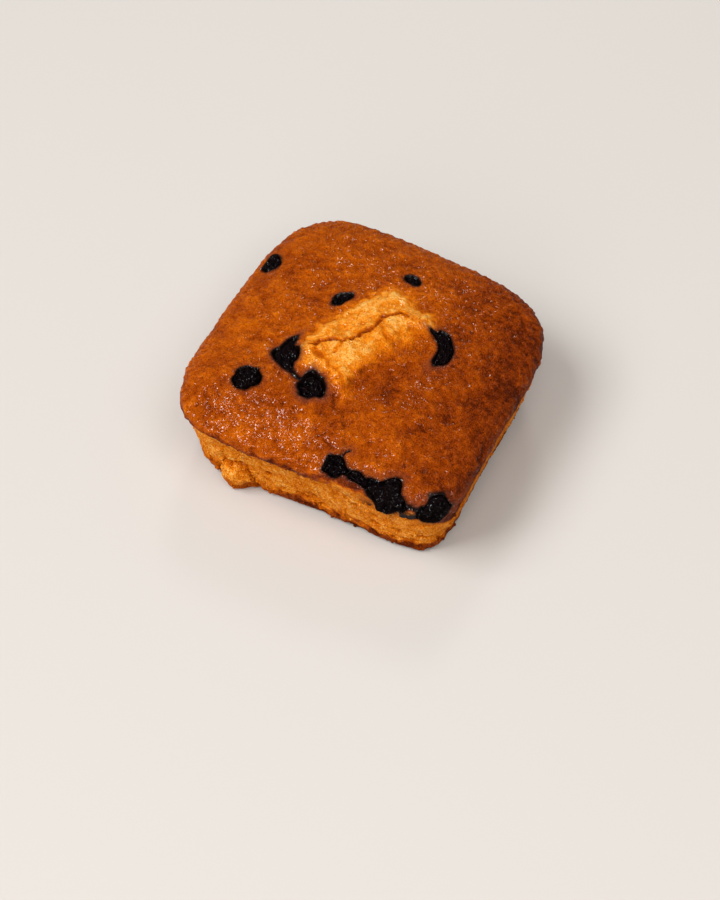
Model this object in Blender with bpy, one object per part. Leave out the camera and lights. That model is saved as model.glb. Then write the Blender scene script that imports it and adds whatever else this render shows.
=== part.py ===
"""A square berry muffin: one cake solid with a domed crust, and the berries that show in it.

The muffin stands on Z = 0, centred on the origin in plan. Its front, at -Y, is the side where
the crust hangs over the crumb and where four burst berries lie in a row.
"""

import math

import bmesh
import bpy
from mathutils import Matrix, Vector
from mathutils.bvhtree import BVHTree

MM = 0.001  # the sizes below are in millimetres

# The cake's plan is a rounded square: a lower corner power is a rounder corner.
HALF_X = 45.3
HALF_Y = 45.0
POWER_FRONT_RIGHT = 8.5
POWER_BACK_RIGHT = 4.0
POWER_BACK_LEFT = 3.8
POWER_FRONT_LEFT = 4.8
BACK_SKEW = 0.09  # the back edge runs forwards to the right by this share

# Its section: a tapered side up to the shoulder, then a flat dome of crust.
SHOULDER_Z = 24.5
CROWN_H = 9.0
CROWN_PLAN_POWER = 3.2
CROWN_RISE_POWER = 2.2
SIDE_TAPER = 6.2
FRONT_LEFT_TAPER = 1.2  # how much less the front left corner tapers
BASE_ROUND = 2.4

# The crust's lip along the front, from the left corner to the split above the berries.
LIP_OUT = 1.3
LIP_UNDERCUT = 1.3
LIP_H = 3.2
LIP_FROM_X = -40.0
LIP_TO_X = 9.0
LIP_FADE = 4.0

# The torn lump of crumb low on the front.
LUMP_X = -21.5
LUMP_Z = 6.0
LUMP_OUT = 3.6
LUMP_HALF_W = 5.0
LUMP_HALF_H = 6.0

# Swells and hollows of the crust: centre, rise, spread along and across, and the turn in degrees.
CRUST_FORMS = (
    dict(x=0.0, y=0.0, rise=1.2, along=24.0, across=24.0, turn=0.0),  # the dome
    dict(x=0.0, y=-1.0, rise=2.2, along=17.0, across=11.0, turn=45.0),  # the split top
    dict(x=12.5, y=-12.0, rise=-1.5, along=9.0, across=4.5, turn=50.0),  # the hollow beside it
    dict(x=-20.0, y=-29.0, rise=1.5, along=17.0, across=8.0, turn=5.0),  # the pillow in front
    dict(x=15.5, y=-33.0, rise=-0.8, along=7.0, across=4.0, turn=-60.0),  # the fold at its end
    dict(x=32.0, y=-30.0, rise=-0.9, along=12.0, across=9.0, turn=0.0),  # the low front right
    dict(x=-41.5, y=15.0, rise=-1.6, along=3.5, across=4.0, turn=0.0),  # the notch on the left
)

# The mesh of the cake: square rings on the top, rows down the side, and rings under the base.
TOP_RINGS = 14
SIDE_ROWS = 9
ROUND_ROWS = 2
BASE_RINGS = 4
BASE_CENTRE_SHARE = 0.12

BERRY_GAP = 0.35
BERRY_SEGMENTS = 16
BERRY_RINGS = 8

# Each berry: where it lies near the crust, its length, width and depth, the turn of its length
# about the crust's normal, how far its ends bend aside, how many corners its skin has burst to
# and how sharp they are, and how deep its middle lies.
BERRIES = {
    "berry_left_corner": dict(at=(-39.8, 17.4, 29.0), length=6.6, width=5.2, depth=6.0, turn=100,
                              bend=0.6, corners=3, sharp=0.08, sunk=1.2),
    "berry_round_left": dict(at=(-23.9, -28.4, 32.6), length=7.8, width=7.6, depth=7.0, turn=20,
                             bend=0.0, corners=3, sharp=0.02, sunk=2.2),
    "berry_star": dict(at=(-18.6, -15.8, 34.5), length=11.2, width=6.4, depth=5.0, turn=112,
                       bend=-1.7, corners=4, sharp=0.17, sunk=1.9),
    "berry_round_middle": dict(at=(-5.8, -23.6, 34.1), length=8.8, width=7.2, depth=6.6, turn=120,
                               bend=0.0, corners=3, sharp=0.05, sunk=2.4),
    "berry_slit_left": dict(at=(-14.0, 10.6, 35.4), length=6.2, width=3.6, depth=4.4, turn=62,
                            bend=-0.9, corners=2, sharp=0.05, sunk=1.9),
    "berry_slit_back": dict(at=(1.5, 26.7, 33.5), length=4.8, width=3.2, depth=4.2, turn=-20,
                            bend=-0.5, corners=2, sharp=0.05, sunk=1.8),
    "berry_kidney": dict(at=(20.6, 6.4, 34.5), length=12.8, width=5.8, depth=5.0, turn=116,
                         bend=2.2, corners=5, sharp=0.05, sunk=1.7),
    "berry_front_small": dict(at=(11.0, -42.2, 28.6), length=6.0, width=5.6, depth=5.4, turn=0,
                              bend=0.0, corners=5, sharp=0.04, sunk=1.5),
    "berry_front_tail": dict(at=(17.9, -42.8, 28.3), length=6.0, width=2.6, depth=3.4, turn=-12,
                             bend=-0.3, corners=2, sharp=0.04, sunk=0.9),
    "berry_front_burst": dict(at=(26.8, -43.9, 26.0), length=11.6, width=9.4, depth=6.4, turn=-28,
                              bend=0.4, corners=4, sharp=0.15, sunk=2.0),
    "berry_front_corner": dict(at=(41.2, -42.4, 22.8), length=9.6, width=8.4, depth=6.6, turn=4,
                               bend=0.0, corners=5, sharp=0.07, sunk=2.0),
}


def smooth_step(low, high, value):
    t = min(1.0, max(0.0, (value - low) / (high - low)))
    return t * t * (3 - 2 * t)


def corner_power(x, y):
    if y < 0:
        return POWER_FRONT_LEFT if x < 0 else POWER_FRONT_RIGHT
    return POWER_BACK_LEFT if x < 0 else POWER_BACK_RIGHT


def plan_point(direction, share, inset):
    """The point of the plan in a direction, at a share of the way out, moved in by an inset."""
    x, y = direction
    power = corner_power(x, y)
    radius = ((abs(x) / HALF_X) ** power + (abs(y) / HALF_Y) ** power) ** (-1 / power)
    radius = (radius - inset) * share
    x, y = x * radius, y * radius
    if y > 0:
        y *= 1 - BACK_SKEW * x / HALF_X
    return x, y


def form_height(x, y):
    """The swells and hollows of the crust at a place in plan."""
    height = 0.0
    for form in CRUST_FORMS:
        turn = math.radians(form["turn"])
        dx, dy = x - form["x"], y - form["y"]
        along = (dx * math.cos(turn) + dy * math.sin(turn)) / form["along"]
        across = (dy * math.cos(turn) - dx * math.sin(turn)) / form["across"]
        height += form["rise"] * math.exp(-along * along - across * across)
    return height


def crown_point(direction, share):
    """A point of the crust: share runs from 0 in the middle to 1 at the shoulder."""
    angle = share * math.pi / 2
    out = math.sin(angle) ** (2 / CROWN_PLAN_POWER)
    rise = max(0.0, math.cos(angle)) ** (2 / CROWN_RISE_POWER)
    x, y = plan_point(direction, out, 0.0)
    out_lip = LIP_OUT * lip_share(x, y) * smooth_step(0.8, 1.0, out)
    fade = 1 - smooth_step(0.9, 1.0, out)
    return x, y - out_lip, SHOULDER_Z + CROWN_H * rise + form_height(x, y) * fade


def lip_share(x, y):
    """1 along the lip in front, and 0 elsewhere."""
    if y > 0:
        return 0.0
    start = smooth_step(LIP_FROM_X - LIP_FADE, LIP_FROM_X + LIP_FADE, x)
    end = 1 - smooth_step(LIP_TO_X - LIP_FADE, LIP_TO_X + LIP_FADE, x)
    return start * end * smooth_step(0.6 * HALF_Y, 0.9 * HALF_Y, -y)


def side_point(direction, down):
    """A point of the side: down runs from 0 at the shoulder to 1 where the base rounds off."""
    x, y = direction
    z = SHOULDER_Z * (1 - down) + BASE_ROUND * down
    towards_corner = max(0.0, (-x - y) / math.hypot(x, y) / math.sqrt(2))
    taper = SIDE_TAPER - FRONT_LEFT_TAPER * towards_corner**3
    x, y = plan_point(direction, 1.0, taper * (1 - z / SHOULDER_Z))
    below = SHOULDER_Z - z
    step = smooth_step(0.0, LIP_H, below) * (LIP_OUT + LIP_UNDERCUT * (1 - 0.7 * down))
    y += (step - LIP_OUT) * lip_share(x, y)
    if y < 0:
        near = ((x - LUMP_X) / LUMP_HALF_W) ** 2 + ((z - LUMP_Z) / LUMP_HALF_H) ** 2
        y -= LUMP_OUT * math.exp(-(near**2))
    return x, y, z


def square_ring(rings, ring):
    """The directions of one square ring of the top's grid, anticlockwise from the front left."""
    n = 2 * ring
    steps = [(-1 + 2 * i / n) for i in range(n)]
    front = [(s, -1.0) for s in steps]
    right = [(1.0, s) for s in steps]
    back = [(-s, 1.0) for s in steps]
    left = [(-1.0, -s) for s in steps]
    return [Vector(d).normalized() for d in front + right + back + left]


def add_band(mesh, upper, lower):
    """Quads between two closed loops of the same length, the upper one first."""
    count = len(upper)
    for i in range(count):
        j = (i + 1) % count
        mesh.faces.new((upper[i], lower[i], lower[j], upper[j]))


def add_grid_ring(mesh, inner, outer):
    """The faces between a square ring and the next one out, which has 8 more points."""
    side_in, side_out = len(inner) // 4, len(outer) // 4
    for side in range(4):
        corner = side * side_out
        first = inner[side * side_in % len(inner)]
        before = outer[corner - 1]
        mesh.faces.new((before, outer[corner], outer[corner + 1], first))
        for i in range(side_in):
            a = inner[(side * side_in + i) % len(inner)]
            b = inner[(side * side_in + i + 1) % len(inner)]
            c = outer[(corner + i + 1) % len(outer)]
            d = outer[(corner + i + 2) % len(outer)]
            mesh.faces.new((a, c, d, b))


def build_cake(material):
    mesh = bmesh.new()
    middle = mesh.verts.new(crown_point(Vector((1.0, 0.0)), 0.0))
    loops = []
    for ring in range(1, TOP_RINGS + 1):
        directions = square_ring(TOP_RINGS, ring)
        share = ring / TOP_RINGS
        loops.append([mesh.verts.new(crown_point(d, share)) for d in directions])
    first = loops[0]
    for i in range(0, 8, 2):
        mesh.faces.new((middle, first[i - 1], first[i], first[i + 1]))
    for inner, outer in zip(loops, loops[1:]):
        add_grid_ring(mesh, inner, outer)
    directions = square_ring(TOP_RINGS, TOP_RINGS)
    last = loops[-1]
    for row in range(1, SIDE_ROWS + 1):
        loop = [mesh.verts.new(side_point(d, row / SIDE_ROWS)) for d in directions]
        add_band(mesh, last, loop)
        last = loop
    foot = [Vector(v.co) for v in last]
    for row in range(1, ROUND_ROWS + 1):
        angle = row / ROUND_ROWS * math.pi / 2
        inward = BASE_ROUND * (1 - math.cos(angle))
        drop = BASE_ROUND * math.sin(angle)
        loop = []
        for point in foot:
            pull = 1 - inward / math.hypot(point.x, point.y)
            loop.append(mesh.verts.new((point.x * pull, point.y * pull, BASE_ROUND - drop)))
        add_band(mesh, last, loop)
        last = loop
    rim = [Vector(v.co) for v in last]
    for ring in range(1, BASE_RINGS + 1):
        share = 1 + (BASE_CENTRE_SHARE - 1) * ring / BASE_RINGS
        loop = [mesh.verts.new((p.x * share, p.y * share, 0.0)) for p in rim]
        add_band(mesh, last, loop)
        last = loop
    mesh.faces.new(last)
    return finish_object(mesh, "cake", material)


def finish_object(mesh, name, material):
    """Makes the bmesh, which is in millimetres, an object in metres."""
    bmesh.ops.scale(mesh, verts=mesh.verts, vec=Vector((MM, MM, MM)))
    bmesh.ops.recalc_face_normals(mesh, faces=mesh.faces)
    data = bpy.data.meshes.new(name)
    mesh.to_mesh(data)
    mesh.free()
    data.materials.append(material)
    data.shade_smooth()
    made = bpy.data.objects.new(name, data)
    bpy.context.scene.collection.objects.link(made)
    return made


def berry_place(berry, crust):
    """The matrix, in millimetres, that puts a berry in the crust with its depth along the normal."""
    near, normal, _, _ = crust.find_nearest(Vector(berry["at"]) * MM)
    near = near / MM
    along = Vector((math.cos(math.radians(berry["turn"])), math.sin(math.radians(berry["turn"])), 0))
    across = normal.cross(along).normalized()
    along = across.cross(normal)
    turned = Matrix((along, across, normal)).transposed().to_4x4()
    return Matrix.Translation(near - normal * berry["sunk"]) @ turned


def build_berry(name, berry, place, material, grow=0.0):
    """A berry's skin, or with grow the pocket that it lies in."""
    half = [berry[side] / 2 + grow for side in ("length", "width", "depth")]
    mesh = bmesh.new()
    rows = []
    for ring in range(1, BERRY_RINGS):
        lift = -math.pi / 2 + math.pi * ring / BERRY_RINGS
        row = []
        for i in range(BERRY_SEGMENTS):
            angle = 2 * math.pi * i / BERRY_SEGMENTS
            out = math.cos(lift) * (1 + berry["sharp"] * math.cos(berry["corners"] * angle))
            u = out * math.cos(angle)
            v = out * math.sin(angle)
            point = (u * half[0], v * half[1] + berry["bend"] * u * u, math.sin(lift) * half[2])
            row.append(mesh.verts.new(point))
        rows.append(row)
    for lower, upper in zip(rows, rows[1:]):
        add_band(mesh, upper, lower)
    for row, side in ((rows[0], -1), (rows[-1], 1)):
        pole = mesh.verts.new((0, 0, side * half[2]))
        for i in range(BERRY_SEGMENTS):
            mesh.faces.new((row[i - 1], row[i], pole))
    mesh.transform(place)
    return finish_object(mesh, name, material)


def cut_pocket(cake, pocket):
    pocket.hide_render = True
    pocket.display_type = "WIRE"
    cut = cake.modifiers.new(pocket.name, "BOOLEAN")
    cut.operation = "DIFFERENCE"
    cut.solver = "EXACT"
    cut.object = pocket


def principled(name, colour, roughness):
    material = bpy.data.materials.new(name)
    material.use_nodes = True
    shader = material.node_tree.nodes["Principled BSDF"]
    shader.inputs["Base Color"].default_value = (*colour, 1.0)
    shader.inputs["Roughness"].default_value = roughness
    shader.inputs["Metallic"].default_value = 0.0
    return material


def centre_in_plan(nodes):
    """Moves everything, cutters too, so that the muffin's box is centred on the origin in plan."""
    points = [Vector(corner) for node in nodes for corner in node.bound_box]
    middle_x = (min(p.x for p in points) + max(p.x for p in points)) / 2
    middle_y = (min(p.y for p in points) + max(p.y for p in points)) / 2
    for made in bpy.data.objects:
        made.location.x -= middle_x
        made.location.y -= middle_y


def main():
    for old in list(bpy.data.objects):
        bpy.data.objects.remove(old)
    crust = principled("crust", (0.42, 0.13, 0.02), 0.55)
    skin = principled("berry_skin", (0.012, 0.006, 0.010), 0.3)
    cake = build_cake(crust)
    nodes = [cake]
    surface = BVHTree.FromObject(cake, bpy.context.evaluated_depsgraph_get())
    for name, berry in BERRIES.items():
        place = berry_place(berry, surface)
        nodes.append(build_berry(name, berry, place, skin))
        cut_pocket(cake, build_berry(name + "_pocket", berry, place, skin, BERRY_GAP))
    centre_in_plan(nodes)


main()
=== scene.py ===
import math

import bpy
import numpy as np
from mathutils import Matrix, Vector, noise
from mathutils.bvhtree import BVHTree


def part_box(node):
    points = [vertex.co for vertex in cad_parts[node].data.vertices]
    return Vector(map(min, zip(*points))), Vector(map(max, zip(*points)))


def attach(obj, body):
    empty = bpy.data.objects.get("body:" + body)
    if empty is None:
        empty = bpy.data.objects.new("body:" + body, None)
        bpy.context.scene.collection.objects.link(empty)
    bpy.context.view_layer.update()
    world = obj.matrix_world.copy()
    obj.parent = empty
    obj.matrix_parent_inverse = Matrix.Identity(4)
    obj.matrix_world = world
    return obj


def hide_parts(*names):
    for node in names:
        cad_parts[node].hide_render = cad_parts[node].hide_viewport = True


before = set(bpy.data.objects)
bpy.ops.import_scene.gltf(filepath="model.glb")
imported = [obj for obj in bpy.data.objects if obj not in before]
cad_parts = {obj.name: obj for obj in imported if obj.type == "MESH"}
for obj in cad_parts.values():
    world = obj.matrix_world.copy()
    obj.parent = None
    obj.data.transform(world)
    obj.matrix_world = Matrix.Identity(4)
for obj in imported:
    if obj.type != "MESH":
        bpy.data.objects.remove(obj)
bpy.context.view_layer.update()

mm = 0.001  # shapes are worked out in millimetres and made in metres


# Small maths used by every piece.
def blend(low, high, value):
    t = np.clip((value - low) / (high - low), 0.0, 1.0)
    return t * t * (3 - 2 * t)


def bell(x, y, spot):
    # A soft round or long swell, 1 at its middle.
    turn = math.radians(spot.get("turn", 0.0))
    dx, dy = x - spot["x"], y - spot["y"]
    along = (dx * math.cos(turn) + dy * math.sin(turn)) / spot["along"]
    across = (dy * math.cos(turn) - dx * math.sin(turn)) / spot["across"]
    return np.exp(-along**2 - across**2)


def awayFromLine(x, y, line):
    # Distance to a broken line, and the side: plus is to its left.
    best = np.full(np.shape(x), 1e9)
    side = np.zeros(np.shape(x))
    for (ax, ay), (bx, by) in zip(line, line[1:]):
        dx, dy = bx - ax, by - ay
        t = np.clip(((x - ax) * dx + (y - ay) * dy) / (dx * dx + dy * dy), 0, 1)
        gap = np.hypot(x - ax - t * dx, y - ay - t * dy)
        nearer = gap < best
        best = np.where(nearer, gap, best)
        side = np.where(nearer, np.sign(dx * (y - ay) - dy * (x - ax)), side)
    return best, side


def insideBy(x, y, outline):
    # How far inside a closed outline, and minus outside it.
    closed = outline + outline[:1]
    gap, side = awayFromLine(x, y, closed)
    inside = np.zeros(np.shape(x), bool)
    for (ax, ay), (bx, by) in zip(closed, closed[1:]):
        if ay != by:
            inside ^= ((ay > y) != (by > y)) & (x < (bx - ax) * (y - ay) / (by - ay) + ax)
    return np.where(inside, gap, -gap)


def cloud(points, size, seed, octaves=3):
    # Smooth noise of about -1 to 1 at each point.
    shift = Vector((seed * 17.3, seed * 5.9, seed * 11.7))
    return np.array([noise.fractal(Vector(p) / size + shift, 1.0, 2.0, octaves) for p in points])


def toLinear(rgb):
    # From ordinary 0-255 screen values.
    values = []
    for value in rgb:
        value /= 255
        values.append(value / 12.92 if value < 0.04045 else ((value + 0.055) / 1.055) ** 2.4)
    return (*values, 1.0)


# The cake.
plan = dict(
    halfX=45.3,
    halfY=45.0,
    frontRight=8.5,  # corner powers: lower is rounder
    backRight=4.0,
    backLeft=3.8,
    frontLeft=4.8,
    backSkew=0.09,
)
section = dict(
    shoulder=24.5,  # height of the crust's edge
    crown=9.0,  # height of the dome above it
    planPower=3.2,
    risePower=2.2,  # higher makes a flatter top with a rounder edge
    taper=6.2,  # how far the sides draw in towards the base
    frontLeftTaper=1.2,
    baseRound=2.4,
)
lip = dict(  # the crust hanging over the front
    out=1.3,
    undercut=1.5,
    undercutFade=0.7,
    height=3.2,
    fromX=-40.0,
    toX=9.0,
    fade=4.0,
    droop=1.1,
)
lump = dict(x=-22.2, z=5.0, out=3.2, halfWidth=4.0, halfHeight=5.0)  # a bulge low on the front
meshCounts = dict(rings=94, sideRows=54, roundRows=6, baseRings=6)  # points about 0.5 mm apart
crustForms = [  # swells and hollows of the dome
    dict(x=0.0, y=0.0, rise=0.8, along=24.0, across=24.0),
    dict(x=0.0, y=-1.0, rise=0.4, along=16.0, across=10.0, turn=45.0),
    dict(x=13.5, y=-11.5, rise=-1.9, along=9.0, across=4.2, turn=55.0),  # hollow beside the peak
    dict(x=-20.0, y=-29.0, rise=1.5, along=17.0, across=8.0, turn=5.0),  # swelling in front
    dict(x=15.5, y=-33.0, rise=-0.8, along=7.0, across=4.0, turn=-60.0),
    dict(x=3.5, y=-31.0, rise=-0.8, along=7.0, across=2.6, turn=-60.0),
    dict(x=32.0, y=-30.0, rise=-0.9, along=12.0, across=9.0),
    dict(x=-10.5, y=-2.5, rise=0.9, along=5.0, across=3.0, turn=70.0),  # lumps of the split top
    dict(x=-7.4, y=-1.3, rise=-0.8, along=1.8, across=1.5),
    dict(x=-2.5, y=9.5, rise=0.6, along=6.5, across=4.5, turn=60.0),
    dict(x=12.0, y=12.0, rise=0.5, along=4.0, across=2.2, turn=10.0),
    dict(x=4.4, y=4.0, rise=0.7, along=3.4, across=2.6, turn=60.0),
    dict(x=-14.0, y=-13.0, rise=0.7, along=3.4, across=2.2, turn=110.0),
    dict(x=-1.5, y=-9.5, rise=0.9, along=4.2, across=2.8, turn=40.0),
    dict(x=-8.0, y=-16.0, rise=0.6, along=3.6, across=2.0, turn=0.0),
    dict(x=9.5, y=2.5, rise=-0.5, along=4.0, across=2.0, turn=75.0),
    dict(x=-33.0, y=-18.0, rise=-0.7, along=2.5, across=1.8, turn=20.0),  # dimples
    dict(x=22.0, y=-35.5, rise=-0.9, along=2.2, across=1.6),
    dict(x=-27.0, y=13.0, rise=-0.5, along=3.0, across=2.0),
    dict(x=-41.5, y=15.0, rise=-1.6, along=3.5, across=4.0),
]
splitTop = dict(  # where the crust split as it rose, and paler cake swelled out
    outline=[(-16.6, -13.6), (-16.1, -7.9), (-15.2, -3.3), (-12.5, 2.1), (-11, 6), (-9.2, 12.2),
             (-6.2, 17), (-0.8, 20.8), (4.2, 20.2), (7.6, 17.2), (11.6, 16), (15.8, 14.8), (16.6, 11.8),
             (13.4, 7.0), (12, 1.6), (9.0, -2.2), (6.9, -6.2), (5.6, -10.2), (3.6, -14), (4.4, -18.5),
             (6, -23.4), (4.4, -25), (1.2, -22.6), (-3.7, -19.2), (-8, -19), (-12.5, -18.4)],
    rise=1.1,
    roll=4.5,
)
cracks = [  # a puff swells beside a crack, and a step lifts its right side
    dict(line=[(-12.6, -11.6), (-11.0, -9.9), (-9.7, -7.9), (-7.2, -6.4), (-5.0, -6.5), (-2.5, -4.5),
               (0.2, -0.4)], depth=1.3, width=0.5, puff=0.9, puffWidth=2.4),
    dict(line=[(0.2, -0.4), (1.0, 2.4), (1.3, 5.2), (2.2, 7.9), (4.9, 10.3), (7.2, 10.4)],
         depth=0.9, width=0.5, puff=0.9, puffWidth=2.2),
    dict(line=[(-5.0, -6.5), (-4.6, -9.2), (-5.3, -11.6)], depth=0.45, width=0.5, puff=0.5, puffWidth=1.8),
    dict(line=[(-11.2, -11.2), (-10.2, -13.2), (-7.3, -13.6), (-4.3, -15.9), (-0.7, -17.1), (2.4, -20.0)],
         depth=0.5, width=0.6, puff=0.6, puffWidth=1.9),
    dict(line=[(7.2, 10.4), (9.4, 10.0), (12.2, 11.4)], depth=0.4, width=0.5, puff=0.4, puffWidth=1.8),
    dict(line=[(1.6, 5.0), (4.1, 1.5), (7.8, 0.6), (9.0, -1.2)], depth=0.35, width=0.6, puff=0.3,
         puffWidth=2.0),
    dict(line=[(4, -16), (2.3, -23), (3.3, -26.5), (7.3, -29.5), (9.8, -33.3), (10.6, -38)],
         depth=0.35, width=0.6, step=2.0),  # where the front swelling ends
]
tears = [  # across the front, as places in X and Z
    dict(line=[(22, 9.2), (29, 10.4), (37, 9.6), (42, 10.5)], depth=0.5, width=0.45),
    dict(line=[(30, 6.4), (36, 7.0), (40, 6.2)], depth=0.5, width=0.4),
    dict(line=[(-2, 7.2), (4, 6.0), (7, 6.6)], depth=0.8, width=0.6),
    dict(line=[(-38, 12.5), (-35, 8.5), (-31, 6.0)], depth=0.5, width=0.5),
    dict(line=[(-19.6, 11.8), (-17.6, 8.4), (-16.4, 4.0), (-15.2, 1.0)], depth=1.3, width=0.7),
    dict(line=[(-27.6, 1.6), (-27.2, 6.2), (-24.8, 10.2), (-20.0, 11.6)], depth=0.9, width=0.5),
]


def planPoints(dx, dy, share, inset):
    power = np.where(dy < 0, np.where(dx < 0, plan["frontLeft"], plan["frontRight"]),
                     np.where(dx < 0, plan["backLeft"], plan["backRight"]))
    radius = ((abs(dx) / plan["halfX"]) ** power + (abs(dy) / plan["halfY"]) ** power) ** (-1 / power)
    radius = (radius - inset) * share
    x, y = dx * radius, dy * radius
    return x, np.where(y > 0, y * (1 - plan["backSkew"] * x / plan["halfX"]), y)


def lipShare(x, y):
    start = blend(lip["fromX"] - lip["fade"], lip["fromX"] + lip["fade"], x)
    end = 1 - blend(lip["toX"] - lip["fade"], lip["toX"] + lip["fade"], x)
    return start * end * blend(0.6 * plan["halfY"], 0.9 * plan["halfY"], -y)


def evenSteps(count):
    # Shares of the way out that are evenly spaced along the crown's curve.
    out = np.sin(np.linspace(0, math.pi / 2, 2000)) ** 0.8
    rise = (1 - out ** section["planPower"]).clip(0) ** (1 / section["risePower"])
    length = np.hypot(np.diff(out * plan["halfX"]), np.diff(rise * section["crown"]))
    length = np.concatenate([[0], np.cumsum(length)])
    return np.interp(np.linspace(0, length[-1], count + 1), length, out)


def crownPoints(dx, dy, out):
    rise = (1 - out ** section["planPower"]).clip(0) ** (1 / section["risePower"])
    x, y = planPoints(dx, dy, out, 0.0)
    y = y - lip["out"] * lipShare(x, y) * blend(0.8, 1.0, out)
    fade = 1 - blend(0.9, 1.0, out)
    z = section["shoulder"] + section["crown"] * rise
    z = z - lip["droop"] * lipShare(x, y) * blend(0.68, 0.9, out) * (1 - blend(0.93, 1.0, out))
    for form in crustForms:
        z = z + form["rise"] * bell(x, y, form) * fade
    return x, y, z


def sidePoints(dx, dy, down):
    z = section["shoulder"] * (1 - down) + section["baseRound"] * down
    corner = np.clip(-(dx + dy) / np.hypot(dx, dy) / math.sqrt(2), 0, 1)
    taper = section["taper"] - section["frontLeftTaper"] * corner**3
    x, y = planPoints(dx, dy, 1.0, taper * (1 - z / section["shoulder"]))
    below = section["shoulder"] - z
    hollow = lip["undercut"] * (1 - lip["undercutFade"] * down)
    step = blend(0.0, lip["height"], below) * (lip["out"] + hollow)
    y = y + (step - lip["out"]) * lipShare(x, y)
    near = ((x - lump["x"]) / lump["halfWidth"]) ** 2 + ((z - lump["z"]) / lump["halfHeight"]) ** 2
    y = np.where(y < 0, y - lump["out"] * np.exp(-(near**2)), y)
    return x, y, z


def cakeGrid():
    # A square grid pulled out to the plan, then rows down the side and rings under the base.
    rings = meshCounts["rings"]
    span = np.arange(-rings, rings + 1)
    gx, gy = np.meshgrid(span, span)
    ring = np.maximum(abs(gx), abs(gy))
    out = evenSteps(rings)[ring]
    gx = np.where(ring == 0, 1, gx)  # the middle point needs some direction
    norm = np.hypot(gx, gy)
    x, y, z = crownPoints((gx / norm).ravel(), (gy / norm).ravel(), out.ravel())
    points = [np.stack([x, y, z], 1)]
    index = np.arange((2 * rings + 1) ** 2).reshape(2 * rings + 1, -1)
    faces = [np.stack([index[:-1, :-1], index[:-1, 1:], index[1:, 1:], index[1:, :-1]], -1).reshape(-1, 4)]
    loop = np.concatenate([index[0, :-1], index[:-1, -1], index[-1, :0:-1], index[:0:-1, 0]])
    dx, dy = (gx / norm).ravel()[loop], (gy / norm).ravel()[loop]
    made = len(points[0])
    rows = [sidePoints(dx, dy, np.full(len(dx), k / meshCounts["sideRows"]))
            for k in range(1, meshCounts["sideRows"] + 1)]
    foot = rows[-1]
    for k in range(1, meshCounts["roundRows"] + 1):
        angle = k / meshCounts["roundRows"] * math.pi / 2
        pull = 1 - section["baseRound"] * (1 - math.cos(angle)) / np.hypot(foot[0], foot[1])
        drop = np.full(len(dx), section["baseRound"] * (1 - math.sin(angle)))
        rows.append((foot[0] * pull, foot[1] * pull, drop))
    rim = rows[-1]
    for k in range(1, meshCounts["baseRings"] + 1):
        share = 1 - 0.9 * k / meshCounts["baseRings"]
        rows.append((rim[0] * share, rim[1] * share, np.zeros(len(dx))))
    last = loop
    for x, y, z in rows:
        here = np.arange(made, made + len(dx))
        made += len(dx)
        points.append(np.stack([x, y, z], 1))
        faces.append(np.stack([last, here, np.roll(here, -1), np.roll(last, -1)], -1))
        last = here
    return np.concatenate(points), np.concatenate(faces), last, len(index.ravel())


def makeMesh(name, points, faces, cap=None):
    mesh = bpy.data.meshes.new(name)
    polygons = [tuple(int(i) for i in face) for face in faces]
    if cap is not None:
        polygons.append(tuple(int(i) for i in cap[::-1]))
    mesh.from_pydata([tuple(p) for p in points * mm], [], polygons)
    mesh.shade_smooth()
    mesh.update()
    thing = bpy.data.objects.new(name, mesh)
    bpy.context.scene.collection.objects.link(thing)
    return thing


def setField(thing, name, values):
    field = thing.data.attributes.new(name, "FLOAT", "POINT")
    field.data.foreach_set("value", np.asarray(values, np.float32))


# The berries. Where each one is comes from its CAD node.
# turn is in degrees, top is how far it stands up, and halo is how much its juice stains the crust.
berries = {
    "berry_left_corner": dict(length=6.6, width=5.2, depth=6.0, turn=100, bend=0.6, corners=3, sharp=0.08,
                              halo=0.25, top=0.7),
    "berry_round_left": dict(length=7.8, width=7.6, depth=7.0, turn=20, corners=3, sharp=0.02, halo=0.35,
                             top=1.0),
    "berry_star": dict(length=11.2, width=6.4, depth=5.0, turn=112, bend=-1.7, corners=4, sharp=0.17,
                       halo=0.8, top=0.65),
    "berry_round_middle": dict(length=8.8, width=7.2, depth=6.6, turn=120, corners=3, sharp=0.05, halo=1.0,
                               top=0.7),
    "berry_slit_left": dict(length=6.2, width=3.6, depth=4.4, turn=62, bend=-0.9, corners=2, sharp=0.05,
                            halo=0.5, top=0.6),
    "berry_slit_back": dict(length=4.8, width=3.2, depth=4.2, turn=-20, bend=-0.5, corners=2, sharp=0.05,
                            halo=0.5, top=0.6),
    "berry_kidney": dict(length=12.8, width=5.8, depth=5.0, turn=116, bend=2.9, corners=4, sharp=-0.12,
                         halo=0.6, top=0.65, waist=0.24, grow=-0.12),
    "berry_front_small": dict(length=6.0, width=5.6, depth=5.4, turn=0, corners=5, sharp=0.04, halo=0.5,
                              top=0.6),
    "berry_front_tail": dict(length=6.0, width=2.6, depth=3.4, turn=-12, bend=-0.3, corners=2, sharp=0.04,
                             halo=0.5, top=0.6),
    "berry_front_burst": dict(length=11.6, width=9.4, depth=6.4, turn=-28, bend=0.4, corners=4, sharp=0.15,
                              halo=0.5, top=0.6),
    "berry_front_corner": dict(length=9.6, width=8.4, depth=6.6, turn=4, corners=5, sharp=0.07, halo=0.5,
                               top=0.6),
}
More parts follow.
